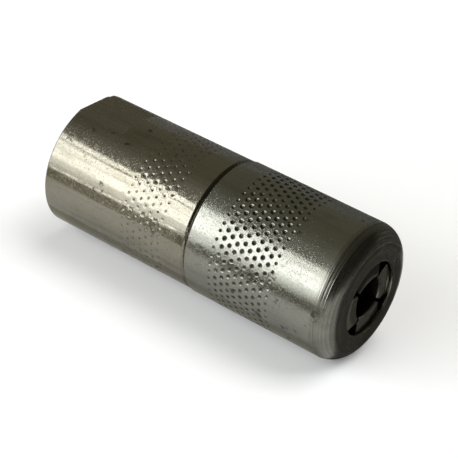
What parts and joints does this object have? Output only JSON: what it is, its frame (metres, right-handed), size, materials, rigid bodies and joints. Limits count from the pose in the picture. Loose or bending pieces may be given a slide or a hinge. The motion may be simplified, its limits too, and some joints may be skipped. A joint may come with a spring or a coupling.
{
  "type": "grease coupler",
  "caption": "Hydraulic grease coupler: screwed steel body and dimpled sleeve, with spring-loaded jaws in a taper that grip a grease nipple, a piston seal and a ball check valve.",
  "frame": {"origin": "centre of the inlet face, where the inlet thread opens", "axes": "+X along the axis to the nose, +Z square to the upper wrench flat, so the coupler lies on its side"},
  "size_m": [0.0383, 0.0154, 0.0154],
  "materials": {
    "body_steel": "turned, lightly worn",
    "sleeve_steel": "satin, plated",
    "jaw_steel": "hardened, ground",
    "piston_steel": "turned",
    "spring_steel": "drawn wire",
    "ball_steel": "polished",
    "seal_rubber": "moulded"
  },
  "bodies": {
    "housing": {"rear_body": "body_steel", "front_sleeve": "sleeve_steel", "main_spring": "spring_steel"},
    "piston_group": {"piston": "piston_steel", "nipple_seal": "seal_rubber", "piston_o_ring": "seal_rubber", "thrust_washer": "jaw_steel", "spreader_ring": "spring_steel", "ball_spring": "spring_steel"},
    "jaw_1": {"jaw_1": "jaw_steel"},
    "jaw_2": {"jaw_2": "jaw_steel"},
    "jaw_3": {"jaw_3": "jaw_steel"},
    "jaw_4": {"jaw_4": "jaw_steel"},
    "valve": {"check_ball": "ball_steel"}
  },
  "joints": [
    {"name": "piston_slide", "type": "slide", "parent": "housing", "child": "piston_group", "axis": [-1, 0, 0], "range_m": [0, 0.0042], "stiffness_N_per_m": 3800, "springref_m": -0.004, "deforming": ["main_spring", "ball_spring", "spreader_ring"]},
    {"name": "jaw_1_slide", "type": "slide", "parent": "housing", "child": "jaw_1", "axis": [-0.9397, -0.0827, 0.3319], "range_m": [0, 0.00447]},
    {"name": "jaw_2_slide", "type": "slide", "parent": "housing", "child": "jaw_2", "axis": [-0.9397, -0.3319, -0.0827], "range_m": [0, 0.00447]},
    {"name": "jaw_3_slide", "type": "slide", "parent": "housing", "child": "jaw_3", "axis": [-0.9397, 0.0827, -0.3319], "range_m": [0, 0.00447]},
    {"name": "jaw_4_slide", "type": "slide", "parent": "housing", "child": "jaw_4", "axis": [-0.9397, 0.3319, 0.0827], "range_m": [0, 0.00447]},
    {"name": "ball_lift", "type": "slide", "parent": "housing", "child": "valve", "axis": [1, 0, 0], "range_m": [0, 0.0012], "stiffness_N_per_m": 1300, "springref_m": -0.001, "deforming": ["ball_spring"]}
  ],
  "couplings": [
    {"joint": "jaw_1_slide", "follows": "piston_slide", "ratio": 1.0642},
    {"joint": "jaw_2_slide", "follows": "piston_slide", "ratio": 1.0642},
    {"joint": "jaw_3_slide", "follows": "piston_slide", "ratio": 1.0642},
    {"joint": "jaw_4_slide", "follows": "piston_slide", "ratio": 1.0642}
  ]
}
